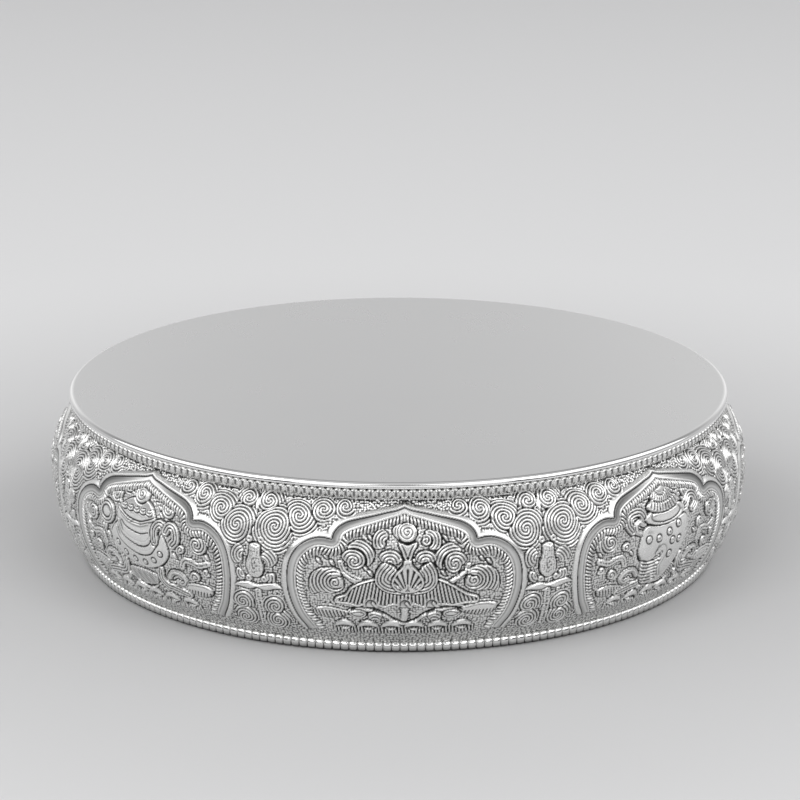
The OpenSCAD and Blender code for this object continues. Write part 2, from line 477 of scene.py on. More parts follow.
# %% Frame of a panel
FRAME_FOOT_Z = 4.2
FRAME_SIDE = [(15.3, 1.7), (15.9, 4.2), (17.4, 6.8), (18.3, 9.6), (18.7, 12.4), (18.5, 15.4),
              (17.7, 17.6), (16.4, 19.1), (14.8, 20.0), (13.1, 20.35), (11.5, 20.15)]
FRAME_HEAD = [(11.5, 20.15), (11.25, 21.0), (10.5, 21.9), (9.2, 22.6), (7.4, 23.15), (5.2, 23.7),
              (3.0, 24.25), (1.4, 24.6), (0.0, 25.1)]
BEVEL_W = 1.0
MOULD_W = 1.3
FILLET_W = 0.3
BORDER_W = 1.2
STROKE_PITCH = 0.6
STROKE_LEAN = 0.9
MOULD_RISE = 0.46
CHANNEL_RISE = 0.36
CHANNEL_FALL = 0.22
STEP_W = 0.2
GROOVE_IN = 0.12
GROOVE_W = 0.16
GROOVE_DEPTH = 0.2
FILLET_RISE = 0.07
ROPE_RISE = 0.42
HEAD_DROP = 0.65
HEAD_HALF = 9.0
FOOT_FADE = 0.25
BORDER_IN = MOULD_W + FILLET_W
FIELD_IN = BORDER_IN + BORDER_W


def frame_depth(s, t):
    """Distance in from the frame's outer line, and the length along the middle of its border."""
    line = np.vstack([curve(FRAME_SIDE), curve(FRAME_HEAD)[1:]])
    far = 60.0
    around = np.vstack([[-far, line[0, 1]], line, [-far, line[-1, 1]], [-far, line[0, 1]]])
    side = np.abs(s)
    gap, run, aim = trace(line, side, t, FAR)
    run = run - (BORDER_IN + 0.5 * BORDER_W) * (aim % (2 * np.pi))
    within = depth_in(around, side, t, FAR) > 0
    return np.where(within, gap, -gap), run


def frame_relief(h, t, d, outer, run):
    """Raises bevel, moulding, fillet and roped border of a panel's frame."""
    standing = smooth((t - up(FRAME_FOOT_Z)) / FOOT_FADE)
    bevel = MOULD_RISE * np.clip(1 + outer / BEVEL_W, 0, 1)
    section = MOULD_RISE + (CHANNEL_RISE - MOULD_RISE) * smooth(outer / STEP_W)
    section = section - CHANNEL_FALL * np.clip(outer / MOULD_W, 0, 1)
    raised = np.where(outer < 0, bevel, section)
    raised = raised - GROOVE_DEPTH * notch(outer - GROOVE_IN, GROOVE_W)
    raised = bead_line(raised, np.abs(d - MOULD_W - 0.5 * FILLET_W), GROOVE_W, FILLET_RISE)
    across = np.clip((d - BORDER_IN) / BORDER_W, 0, 1)
    stroke = ridges(run / STROKE_PITCH + STROKE_LEAN * across)
    rope = ROPE_RISE * stroke * np.sin(np.pi * across) ** 0.5
    raised = np.where(d > BORDER_IN, rope, raised)
    on = (outer > -BEVEL_W) & (d < FIELD_IN)
    out = np.where(on, np.where(outer < 0, np.maximum(h, raised), raised), h)
    return h + (out - h) * standing


# %% Cloud scrolls of a spandrel
CLOUD_EYES = [
    (-4.0, 20.7, 3.5, -1, -20), (2.6, 21.1, 3.9, 1, -35), (-7.2, 22.6, 2.9, 1, 200),
    (6.4, 22.9, 3.0, 1, 20), (-2.8, 24.4, 2.2, 1, 190), (0.9, 24.4, 2.6, -1, -10),
    (10.3, 23.9, 2.2, 1, -60), (-11.1, 24.0, 2.3, -1, 240), (13.8, 24.4, 1.7, 1, 0),
    (-14.6, 24.5, 1.6, -1, 180)]
LOW_EYES = [(-3.2, 8.2, 2.3, -1, -60), (2.5, 8.0, 2.5, 1, -20), (-3.2, 5.3, 2.4, 1, 180),
            (2.5, 5.4, 2.7, -1, -10)]
SMALL_ARCS = [((-2.5, 16.2), (0.0, 2.1), (70, 270)), ((0.8, 15.2), (0.6, 3.0), (-20, 100)),
              ((-2.4, 13.3), (0.0, 1.4), (110, 300)), ((1.1, 13.0), (0.3, 1.9), (-75, 60))]


def spandrel_relief(w, t):
    """Heights of a spandrel, w being the distance from its middle line."""
    h = 0.2 * stipple(w, t) - 0.03
    h = arcs(h, w, t, (4.6, 24.0), (0.0, 1.7), (50, 170))
    h = arcs(h, w, t, (-5.6, 24.2), (0.0, 1.5), (30, 150))
    h = scrolls(h, w, t, CLOUD_EYES, halo=1.0)
    h = scrolls(h, w, t, LOW_EYES, halo=0.6)
    for eye, radii, angles in SMALL_ARCS:
        h = arcs(h, w, t, eye, radii, angles)
    flask = [(-1.5, 18.1), (-1.5, 16.9), (-2.0, 15.2), (-1.9, 13.8), (-1.2, 12.8), (-0.5, 12.6),
             (0.2, 12.8), (0.9, 13.6), (1.0, 15.0), (0.6, 16.6), (0.5, 18.1), (-0.5, 18.5)]
    gap = inside(flask, w, t)
    h = lay(h, gap, 0.2 + 0.14 * smooth(gap / 0.9) + 0.16 * stipple(w, t, 0.4), cut=0.3)
    for place, z in ((-1.5, 18.9), (0.5, 18.9), (1.0, 12.6), (-1.6, 12.5)):
        d = np.hypot(w - place, t - up(z))
        h = lay(h, 0.6 - d, 0.34 - 0.2 * notch(d, 0.25), cut=0.14)
    swag = [(-4.6, 10.9), (-3.3, 11.7), (-1.7, 12.0), (-0.3, 11.6), (1.2, 12.0), (2.9, 12.2),
            (4.2, 11.2), (2.8, 11.0), (1.0, 10.5), (-0.3, 10.9), (-1.5, 10.5), (-3.2, 10.7)]
    h = mound(h, w, t, swag, 0.18, 0.26, 0.6, cut=0.22)
    stem = [(-0.2, 4.4), (-0.1, 7.0), (-0.3, 10.4)]
    h = ring(h, w, t, stem, 0.6, 0.26)
    h = cut_line(h, w, t, stem, 0.14, 0.16)
    leaf = [(-1.0, 22.8), (-0.6, 23.8), (-1.0, 24.9), (-1.5, 23.8)]
    return shape(h, w, t, leaf, 0.34)


# %% [markdown]
# ## The lotus
# The front panel holds a lotus: a bud with fanned rays, two striped outer petals with
# curled tips, a jewel on top, plumed scrolls at its sides and a skirt of leaf below.
# Each form is an outline laid over what lies behind it, in the order a chaser would set
# them, from the back to the front.

# %% Petal row and water under every symbol
PETAL_PLACES = (-9.7, -5.9, -2.2, 1.5, 5.3, 9.3)
PETAL_TOP_Z = 6.9
PETAL = [(-1.85, 5.0), (-1.4, 6.2), (0, 6.9), (1.4, 6.2), (1.85, 5.0), (1.0, 5.3), (0, 5.45), (-1.0, 5.3)]


def petal_row(h, s, t):
    """Lotus petals along the foot of a panel: mound, hollow, lip and hatched underside."""
    hatch = -0.24 + 0.5 * ridges(s / 0.55 + 0.2 * t)
    low = smooth((up(5.5) - t) / 0.3) * smooth((t - up(3.95)) / 0.2) * smooth((11.6 - np.abs(s)) / 0.4)
    h = h + (hatch - h) * low
    for place in PETAL_PLACES:
        h = mound(h, s, t, moved(PETAL, place), 0.2, 0.34, 0.7, edge=0.4, cut=0.0)
        hollow = (1 - np.hypot((s - place) / 1.75, (t - up(4.95)) / 0.6)) * 0.6
        h = lay(h, hollow, -0.36 + 0.2 * ridges(s / 0.5), edge=0.25, cut=0.0)
        lip = (1 - np.hypot((s - place) / 1.0, (t - up(4.9)) / 0.3)) * 0.3
        h = lay(h, lip, 0.34, edge=0.2, cut=0.0)
    return h


def water(h, s, t):
    """Waves over the petals: fringed crests, lenses, scale arcs and a bowed double line."""
    left = [(-14.2, 8.6), (-12.6, 9.1), (-10.6, 8.8), (-8.9, 8.3), (-8.7, 7.6), (-10.2, 7.1),
            (-12.2, 6.8), (-13.8, 7.2)]
    right = [(14.9, 9.2), (13.2, 9.7), (11.0, 9.6), (9.1, 9.1), (8.8, 8.2), (10.4, 7.5), (12.6, 7.2),
             (14.4, 7.8)]
    lens = [(9.0, 7.9), (8.0, 8.5), (6.6, 8.4), (6.0, 7.7), (6.8, 7.0), (8.2, 7.1)]
    for side, crest in ((-1, left), (1, right)):
        gap = inside(crest, s, t)
        fringe = smooth((up(8.6) - t) / 0.6)
        form = 0.24 + 0.2 * smooth(gap / 0.8) + 0.42 * (ridges(s / 0.58 - side * 0.5 * t) - 0.7) * fringe
        h = lay(h, gap, form, edge=0.3, cut=0.14)
        h = ring(h, s, t, crest[:4], 0.36, 0.24)
        h = arcs(h, s, t, (side * 4.7, 6.7), (0.0, 1.8), (5, 175))
        gap = inside(moved(lens, 0, 0, side), s, t)
        h = lay(h, gap, 0.3 - 0.2 * notch(gap - 0.42, 0.14), cut=0.22)
    bow = [(-9.0, 8.5), (-7.2, 8.95), (-5.2, 8.75), (-3.2, 7.9), (-1.6, 6.8), (0.0, 6.35), (1.6, 6.8),
           (3.2, 8.0), (5.2, 8.8), (7.2, 8.95), (9.0, 8.5)]
    h = ring(h, s, t, moved(bow, 0, -0.4), 0.26, 0.2)
    return cut_line(h, s, t, bow, 0.2, 0.3)


def field_ground(s, t):
    """Stippled ground inside a frame."""
    return 0.13 * stipple(s, t) - 0.03


# %% Leaf and outer petals


def skirt_of_leaf(h, s, t):
    """The leaf below the lotus, striped, with a scalloped hem."""
    edge = [(-4.6, 14.2), (-7.1, 13.4), (-8.6, 12.5), (-9.4, 11.4), (-10.9, 10.7), (-11.0, 9.7),
            (-9.0, 9.5), (-7.4, 9.1), (-6.2, 9.5), (-4.6, 9.5), (-3.2, 9.0), (-1.8, 9.5), (-0.2, 9.2),
            (1.5, 9.5), (3.0, 9.0), (4.6, 9.5), (6.2, 9.4), (7.6, 9.2), (9.6, 9.5), (11.5, 9.6),
            (11.7, 10.7), (10.0, 11.4), (8.7, 12.2), (7.4, 13.1), (5.0, 14.2), (0.2, 14.8)]
    dome = [(-1.1, 9.1), (-0.95, 10.2), (0, 10.75), (0.95, 10.2), (1.1, 9.1)]
    fan = (s - 0.2) * (1 - 0.035 * (up(12) - t)) / 0.56
    h = striped(h, s, t, edge, fan, 0.08, 0.28, 0.5)
    h = cut_line(h, s, t, [(-4.6, 13.7), (-7.0, 12.9), (-8.2, 12.1), (-8.8, 11.0)], 0.14, 0.2)
    h = cut_line(h, s, t, [(5.0, 13.7), (7.1, 12.6), (8.3, 11.7), (9.7, 10.7)], 0.14, 0.2)
    for place in (-5.3, 0.0, 4.2):
        h = shape(h, s, t, moved(dome, place), 0.16, cut=0.1)
        h = ring(h, s, t, moved(dome + [(0.6, 9.5), (0.3, 9.9)], place), 0.24, 0.26)
    return h


def outer_petals(h, s, t):
    """The two outer petals of the lotus with their curled tips."""
    left = [(0.3, 11.6), (-1.6, 11.5), (-3.3, 12.0), (-4.5, 13.1), (-4.7, 14.4), (-4.2, 15.8),
            (-3.3, 16.8), (-2.3, 16.6), (-1.3, 15.8), (-0.2, 13.4)]
    right = [(0.6, 11.6), (2.4, 11.5), (4.0, 12.0), (5.0, 13.1), (5.15, 14.4), (4.8, 15.8), (4.1, 16.8),
             (3.2, 16.6), (2.4, 15.8), (1.2, 13.4)]
    h = arcs(h, s, t, (-2.3, 16.7), (0.0, 2.1), (-25, 190))
    h = arcs(h, s, t, (3.2, 16.8), (0.0, 1.9), (-25, 200))
    for outline in (left, right):
        gap = inside(outline, s, t)
        inward = trace(curve(outline[:7]), s, t, 3.0)[0]
        form = 0.2 + 0.12 * smooth(gap / 1.6) + 0.24 * ridges((inward - 0.45) / 0.54 + 0.5)
        form = np.where(inward < 0.42, 0.46, form)
        h = lay(h, gap, form, cut=0.24)
    return h


# %% Bud and jewel


def bud(h, s, t):
    """The bud of the lotus with its fan of rays, its neck and its collar."""
    outline = [(0.45, 11.7), (-0.9, 11.9), (-1.9, 12.7), (-2.15, 13.6), (-1.7, 14.8), (-0.9, 15.7),
               (-0.35, 16.4), (-0.15, 17.1), (0.45, 17.3), (1.05, 17.1), (1.25, 16.4), (1.8, 15.7),
               (2.6, 14.8), (3.05, 13.6), (2.8, 12.7), (1.8, 11.9)]
    gap = inside(outline, s, t)
    fan = np.degrees(np.arctan2(s - 0.45, t - up(11.6)))
    far = np.hypot(s - 0.45, t - up(11.6))
    rays = 0.24 * (ridges(fan / 15.0 + 0.5) - 1) * smooth((far - 0.9) / 0.4) * smooth((4.6 - far) / 0.8)
    form = np.where(gap < 0.42, 0.56, 0.4 + rays)
    h = lay(h, gap, form, cut=0.26)
    sepals = [(-1.3, 12.4), (-0.8, 12.9), (-0.2, 12.3), (0.45, 13.0), (1.1, 12.3), (1.7, 12.9), (2.2, 12.4)]
    h = ring(h, s, t, sepals, 0.26, 0.2)
    flare = [(-0.1, 17.2), (-0.5, 18.3), (-1.0, 19.3), (-0.9, 19.9), (0.45, 19.5), (1.8, 19.9), (2.0, 19.3),
             (1.4, 18.3), (1.0, 17.2)]
    h = shape(h, s, t, flare, 0.36, cut=0.22)
    h = cut_line(h, s, t, [(-0.6, 19.6), (0.05, 18.4), (0.4, 17.4)], 0.17, 0.24)
    h = cut_line(h, s, t, [(1.5, 19.6), (0.85, 18.4), (0.5, 17.4)], 0.17, 0.24)
    h = ring(h, s, t, [(-0.6, 17.1), (0.45, 16.95), (1.5, 17.1)], 0.3, 0.22)
    return cut_line(h, s, t, [(-0.6, 17.5), (0.45, 17.4), (1.5, 17.5)], 0.12, 0.16)


def jewel(h, s, t, place, z, radius):
    """A round jewel with a swirl in it."""
    d = np.hypot(s - place, t - up(z))
    turn = np.arctan2(t - up(z), s - place)
    ball = 0.16 + 0.26 * hump(d, radius)
    swirl = 0.2 * ridges(d / 0.54 + turn / (2 * np.pi))
    return lay(h, radius - d, ball + swirl, cut=0.2)


# %% Plumes, wings and sprigs


def plume(h, s, t, eye, side):
    """A scroll with nested feathers over it and a double tail that runs down to the leaf."""
    x, z = eye
    start = -20 if side < 0 else 60
    h = arcs(h, s, t, eye, (1.9, 3.5), (start, start + 140))
    h = scrolls(h, s, t, [(x, z, 2.3, -side, 200 if side < 0 else -20)], rise=0.28)
    tail = moved([(2.2, -0.4), (1.7, -1.6), (0.6, -2.5), (-0.8, -3.1)], x, z, side)
    h = ring(h, s, t, tail, 0.42, 0.28)
    return cut_line(h, s, t, tail, 0.12, 0.18)


def wing(h, s, t, eye, side):
    """A comma scroll whose feathers sweep outwards and down, each a little shorter."""
    x, z = eye
    outline = [(-0.9, 1.6), (0, 2.3), (1.4, 2.4), (3.0, 1.9), (4.0, 0.7), (4.3, -0.9), (3.9, -2.3),
               (3.2, -2.2), (2.4, -1.9), (0.8, -2.0), (-0.6, -1.6), (-1.4, -0.6)]
    far = np.hypot(s - x, (t - up(z)) * 1.15)
    h = striped(h, s, t, moved(outline, x, z, side), far / 0.56, 0.14, 0.26)
    h = scrolls(h, s, t, [(x, z, 1.3, -side, 100)], rise=0.34)
    tail = moved([(0.2, 1.2), (-1.1, 1.5), (-2.2, 0.7), (-3.3, 0)], x, z, side)
    h = ring(h, s, t, tail, 0.4, 0.28)
    return cut_line(h, s, t, moved(tail, 0, -0.5), 0.13, 0.2)


def sprig(h, s, t, places, size=0.55):
    """Small pointed leaves that fill a corner."""
    leaf = [(-size, 0.9 * size), (0.2 * size, 0.8 * size), (size, -size), (-0.4 * size, -0.5 * size)]
    for x, z in places:
        h = mound(h, s, t, moved(leaf, x, z), 0.18, 0.2, 0.4)
    return h


# %% Whole lotus


def lotus(h, s, t):
    """Chases the lotus and its scrolls on a panel."""
    h = sprig(h, s, t, [(-13.4, 16.6), (-12.3, 17.4), (-12.6, 18.4), (-11.3, 16.4), (12.0, 17.0),
                        (13.2, 16.4), (11.2, 18.0), (-6.0, 15.6), (-5.3, 14.9), (6.0, 14.9),
                        (-5.4, 20.4), (6.4, 20.3), (8.4, 20.0)])
    h = wing(h, s, t, (-10.8, 13.3), -1)
    h = wing(h, s, t, (10.7, 13.6), 1)
    h = plume(h, s, t, (-7.8, 16.9), -1)
    h = plume(h, s, t, (7.7, 16.4), 1)
    h = arcs(h, s, t, (-2.8, 19.9), (0.2, 2.3), (70, 250))
    h = arcs(h, s, t, (3.4, 20.0), (0.9, 2.4), (-75, 100))
    h = scrolls(h, s, t, [(3.3, 20.0, 1.2, 1, 150)])
    h = water(h, s, t)
    h = ring(h, s, t, [(-0.1, 6.6), (0.0, 8.2), (0.0, 9.8)], 0.55, 0.3)
    h = skirt_of_leaf(h, s, t)
    h = outer_petals(h, s, t)
    h = bud(h, s, t)
    h = arcs(h, s, t, (0.4, 21.2), (1.4, 2.4), (120, 220))
    return jewel(h, s, t, 0.4, 21.2, 1.6)


# %% [markdown]
# ## The other seven symbols
# Vase, conch, knot, banner, wheel, parasol and fish fill the panels round the rest of
# the wall. They share their company: ribbons, small scrolls and the waves below. Each is
# built from the same few tools, so that all look like the work of one hand.

# %% Company of a symbol


def ribbon(h, s, t, points, half_w=0.42):
    """A flat ribbon with a groove down its middle."""
    h = ring(h, s, t, points, half_w + 0.12, 0.3)
    return cut_line(h, s, t, points, 0.13, 0.18)


def band(h, s, t, points, half_w=0.8, pitch=0.53):
    """A wide ribbon with ridges that run along it."""
    gap = trace(curve(points), s, t)[0]
    return lay(h, half_w - gap, 0.16 + 0.24 * ridges(gap / pitch), cut=0.2)


def loop(h, s, t, place, z, wide, high):
    """A ribbon loop of two ridges round a smooth hollow."""
    turns = np.linspace(0, 2 * np.pi, 9)[:-1]
    outline = [(place + wide * math.cos(a), z + high * math.sin(a)) for a in turns]
    gap = inside(outline, s, t)
    hollow = 0.16 + 0.12 * smooth((gap - 1.08) / 0.5)
    form = np.where(gap < 1.08, 0.16 + 0.24 * ridges((gap - 0.27) / 0.54), hollow)
    return lay(h, gap, form, cut=0.18)


def dots(h, s, t, places, radius=0.38):
    """Small ring punches."""
    for x, z in places:
        d = np.hypot(s - x, t - up(z))
        h = h + 0.2 * notch(d - 0.6 * radius, 0.16) - 0.16 * notch(d - 1.3 * radius, 0.14)
    return h


def company(h, s, t):
    """Ribbons, scrolls and waves on both sides of a symbol."""
    eyes = []
    for side in (-1, 1):
        away = 0 if side > 0 else 180
        eyes += [(side * 12.5, 16.4, 2.2, side, 90), (side * 6.4, 20.6, 1.8, -side, 90 + side * 30),
                 (side * 11.8, 10.7, 1.3, side, -90), (side * 14.0, 12.0, 1.0, side, away),
                 (side * 9.3, 14.9, 1.2, side, -90)]
    h = scrolls(h, s, t, eyes)
    for side in (-1, 1):
        h = arcs(h, s, t, (side * 12.4, 16.5), (1.9, 3.0), (60 - side * 60, 180 - side * 60))
        h = arcs(h, s, t, (side * 3.8, 21.4), (0.0, 1.4), (0, 180))
        leaves = [(4.9, 19.6), (14.3, 14.6), (7.9, 13.6), (9.8, 18.6)]
        h = sprig(h, s, t, moved(leaves, 0, 0, side))
    h = water(h, s, t)
    streamer = [(9.2, 12.0), (9.8, 13.2), (11.2, 13.3), (12.6, 12.9), (14.4, 13.5)]
    curl = [(6.0, 9.4), (7.0, 10.5), (8.6, 10.6), (9.6, 9.7), (9.0, 8.8), (7.8, 9.0)]
    sash = [(4.4, 10.4), (4.3, 9.0), (5.3, 7.9), (7.2, 7.6), (9.6, 7.1)]
    for side in (-1, 1):
        h = ribbon(h, s, t, moved(streamer, 0, 0, side))
        h = band(h, s, t, moved(curl, 0, 0, side), 0.54)
        h = band(h, s, t, moved(sash, 0, 0, side))
    seat = [(-2.9, 9.4), (2.9, 9.4), (3.2, 8.2), (2.4, 7.2), (-2.4, 7.2), (-3.2, 8.2)]
    return striped(h, s, t, seat, (s + t) / 0.56, 0.12, 0.26)


# %% Vase and conch


def vase(h, s, t):
    """The treasure vase: a round belly with festoons, a draped neck, a bow and a jewel."""
    h = loop(h, s, t, -8.4, 17.3, 2.3, 2.1)
    belly = [(-5.3, 18.6), (-5.2, 16.8), (-6.4, 15.6), (-7.2, 13.9), (-6.2, 12.2), (-4.4, 10.9),
             (-1.6, 10.1), (0.5, 9.9), (2.6, 10.2), (4.8, 11.2), (6.3, 12.7), (6.6, 14.1), (6.1, 15.5),
             (5.2, 16.7), (4.6, 15.6), (4.1, 17.0), (3.7, 18.6), (0, 18.0)]
    h = mound(h, s, t, belly, 0.24, 0.28, 3.0, cut=0.26)
    h = dots(h, s, t, [(-3.4, 11.7), (-1.2, 11.1), (1.2, 11.1), (3.3, 11.9), (4.9, 13.3), (-5.2, 13.0)])
    upper = [(-4.7, 16.8), (-3.6, 15.3), (-1.6, 14.5), (0.6, 14.2), (2.3, 14.7), (3.3, 16.0)]
    lower = [(-5.3, 15.6), (-4.2, 14.2), (-2.2, 13.2), (0.5, 12.7), (2.8, 13.3), (4.1, 14.8)]
    for line in (upper, lower):
        h = ring(h, s, t, line, 0.3, 0.2)
        h = cut_line(h, s, t, moved(line, 0, -0.45), 0.15, 0.22)
    h = cut_line(h, s, t, [(-4.0, 17.0), (-2.6, 16.2), (0.4, 15.8), (2.4, 16.3)], 0.14, 0.18)
    drape = [(-5.2, 18.9), (-4.0, 20.0), (-2.2, 21.0), (0, 21.3), (2.0, 21.0), (3.2, 19.9), (3.8, 18.5),
             (2.0, 17.8), (0.4, 17.3), (-2.0, 17.4), (-3.6, 17.9)]
    h = shape(h, s, t, drape, 0.34, cut=0.26)
    for place in (-3.6, -2.1, -0.6, 0.9, 2.4):
        h = arcs(h, s, t, (place, 19.9), (0.0, 1.1), (190, 350), 0.5, 0.22, 0.3)
    collar = [(-5.0, 18.7), (-3.6, 17.9), (-2.0, 17.4), (0.4, 17.3), (2.0, 17.8), (3.6, 18.5)]
    h = ring(h, s, t, collar, 0.3, 0.2)
    h = cut_line(h, s, t, moved(collar, 0, 0.42), 0.14, 0.2)
    h = band(h, s, t, [(3.8, 15.2), (3.7, 17.0), (4.3, 18.0), (5.2, 18.2), (5.9, 17.4)])
    h = band(h, s, t, [(6.1, 17.3), (6.7, 18.2), (7.6, 18.2), (8.2, 17.3), (8.2, 16.2), (7.5, 15.4)])
    return jewel(h, s, t, -0.1, 21.8, 1.6)


def conch(h, s, t):
    """The conch: a ball, hatched whorls, a plain collar, a smooth body and a striped lip."""
    h = band(h, s, t, [(-5.0, 18.9), (-5.7, 19.8), (-7.0, 20.0), (-8.3, 19.6), (-8.6, 18.4), (-7.8, 17.3)])
    h = band(h, s, t, [(-5.4, 17.9), (-6.2, 18.4), (-7.0, 18.0), (-6.9, 17.0), (-5.9, 16.5)], 0.54)
    h = band(h, s, t, [(5.2, 18.8), (6.4, 19.9), (7.8, 19.7), (8.2, 18.5), (7.2, 17.7)])
    body = [(-4.6, 17.4), (-6.0, 15.6), (-6.5, 13.5), (-5.7, 11.8), (-5.6, 9.8), (-5.2, 8.0), (-3.6, 7.0),
            (-1.2, 6.8), (1.0, 7.6), (3.0, 9.6), (4.6, 12.2), (5.4, 14.8), (5.1, 17.4), (0, 17.0)]
    h = mound(h, s, t, body, 0.22, 0.22, 3.0, cut=0.28)
    lip = [(-5.5, 11.6), (-3.8, 11.3), (-2.4, 11.8), (-1.6, 12.4), (-1.2, 11.0), (-1.7, 9.6), (-1.3, 8.0),
           (-2.4, 7.1), (-4.4, 7.3), (-5.3, 8.8)]
    far = np.hypot(s + 3.2, t - up(16.4))
    h = striped(h, s, t, lip, far / 0.6, 0.08, 0.36)
    lobe = [(-4.4, 16.8), (-5.8, 15.4), (-6.4, 13.6), (-5.9, 12.1), (-4.6, 11.5), (-3.2, 11.7), (-2.0, 12.6),
            (-1.4, 14.2), (-2.4, 16.2)]
    h = mound(h, s, t, lobe, 0.34, 0.16, 1.4, edge=0.9, cut=0.0)
    h = cut_line(h, s, t, [(-6.5, 13.2), (-6.0, 12.0), (-4.6, 11.3), (-3.2, 11.5), (-2.1, 12.3)], 0.16, 0.26)
    hook = [(-2.2, 12.4), (-1.5, 13.1), (-0.8, 13.0), (-0.5, 12.2), (-1.1, 11.2), (-1.7, 10.2),
            (-1.5, 9.0), (-1.0, 8.0)]
    h = ribbon(h, s, t, hook, 0.34)
    rings = [(-4.4, 15.2), (-2.0, 14.9), (0.6, 15.4), (3.0, 16.2), (1.4, 13.8), (3.2, 13.6), (0.9, 11.6)]
    h = dots(h, s, t, rings, 0.5)
    fan = np.degrees(np.arctan2(s + 0.3, up(24.6) - t))
    whorls = [(0.1, 18.5, 5.0, 1.7, False), (-0.2, 20.2, 3.9, 1.4, True), (-0.2, 21.5, 2.7, 1.2, True)]
    for place, z, wide, high, hatched in whorls:
        gap = (1 - np.hypot((s - place) / wide, (t - up(z)) / high)) * high
        plain = 0.36 - 0.22 * notch(gap - 0.5, 0.15)
        form = np.where(gap < 0.2, 0.44, 0.12 + 0.34 * ridges(fan / 6.5)) if hatched else plain
        h = lay(h, gap, form, cut=0.28)
    d = np.hypot(s + 0.4, t - up(22.4))
    return lay(h, 1.15 - d, 0.2 + 0.34 * hump(d, 1.15), cut=0.26)


# %% Knot, banner and wheel


def knot(h, s, t):
    """The endless knot: one band that crosses over and under itself."""
    size = 1.62
    turns = [[(-1, -1.5), (-1, 1.5), (-0.5, 2.05), (0, 1.5), (0, -1.5), (0.5, -2.05), (1, -1.5), (1, 1.5)],
             [(1, 1.5), (1.65, 1.65), (1.5, 1), (-1.5, 1), (-2.05, 0.5), (-1.5, 0), (1.5, 0), (2.05, -0.5),
              (1.5, -1), (-1.5, -1), (-1.65, -1.65), (-1, -1.5)]]
    a = (s + t + 1.6) / (2 * size)
    b = (t + 1.6 - s) / (2 * size)
    weave = 0.1 * np.cos(np.pi * (a + b))
    laid = []
    for sign, path in zip((1, -1), turns):
        line = np.array([((x - y) * size, (x + y) * size - 1.6) for x, y in path])
        gap = 0.8 - trace(line, s, t)[0]
        form = 0.36 + sign * weave - 0.12 * notch(gap - 0.8, 0.2)
        laid.append((np.where(gap > -0.2, form, -1), lay(h, gap, form, cut=0.16)))
    (one, under), (two, over) = laid
    return np.where(two > one, over, under)


def banner(h, s, t):
    """The banner of victory: three draped tiers under a cap and a jewel."""
    h = ring(h, s, t, [(0, 9.2), (0, 11.2)], 0.5, 0.3)
    for low, high, half in ((10.4, 14.0, 4.3), (13.4, 16.9, 3.9), (16.3, 19.6, 3.5)):
        tier = [(-half, low + 0.5), (-half * 0.5, low), (0, low + 0.5), (half * 0.5, low), (half, low + 0.5),
                (half * 0.88, high), (0, high + 0.2), (-half * 0.88, high)]
        gap = inside(tier, s, t)
        form = 0.3 + 0.12 * smooth(gap / 1.2) + 0.15 * ridges(s / 0.62)
        form = np.where((gap < 0.4) | (t > up(high - 0.9)), 0.42, form)
        h = lay(h, gap, form, cut=0.18)
        h = dots(h, s, t, [(x, high - 0.45) for x in (-2.4, -1.2, 0, 1.2, 2.4)], 0.3)
    streamer = [(3.4, 19.0), (5.2, 18.4), (5.6, 16.4), (7.0, 15.0), (6.6, 13.0), (7.6, 11.6)]
    for side in (-1, 1):
        h = ribbon(h, s, t, moved(streamer, 0, 0, side))
    cap = [(-3.9, 19.4), (-2.6, 20.5), (0, 20.9), (2.6, 20.5), (3.9, 19.4), (0, 19.0)]
    h = shape(h, s, t, cap, 0.4)
    return jewel(h, s, t, 0.0, 21.9, 1.2)


def wheel(h, s, t):
    """The wheel: hub, eight spokes and a banded felloe."""
    y = t - up(15.0)
    d = np.hypot(s, y)
    turn = np.degrees(np.arctan2(y, s))
    h = lay(h, 5.7 - d, 0.1 + 0.08 * stipple(s, t, 0.42), cut=0.18)
    spoke = np.abs((turn + 22.5) % 45 - 22.5) * np.pi / 180 * d
    half = 0.34 + 0.2 * np.sin(np.pi * np.clip((d - 1.2) / 3.2, 0, 1))
    gap = np.minimum(half - spoke, 4.6 - d)
    h = lay(h, gap, 0.3 + 0.2 * smooth(gap / 0.5), cut=0.14)
    felloe = np.minimum(d - 4.2, 5.7 - d)
    h = lay(h, felloe, 0.4 + 0.08 * ridges(turn / 7.5) * (felloe > 0.45), cut=0.18)
    for k in range(8):
        a = math.radians(45 * k + 22.5)
        knob = np.hypot(s - 6.2 * math.cos(a), y - 6.2 * math.sin(a))
        h = lay(h, 0.75 - knob, 0.22 + 0.22 * hump(knob, 0.75))
    return jewel(h, s, t, 0.0, 15.0, 1.5)


# %% Parasol and fish


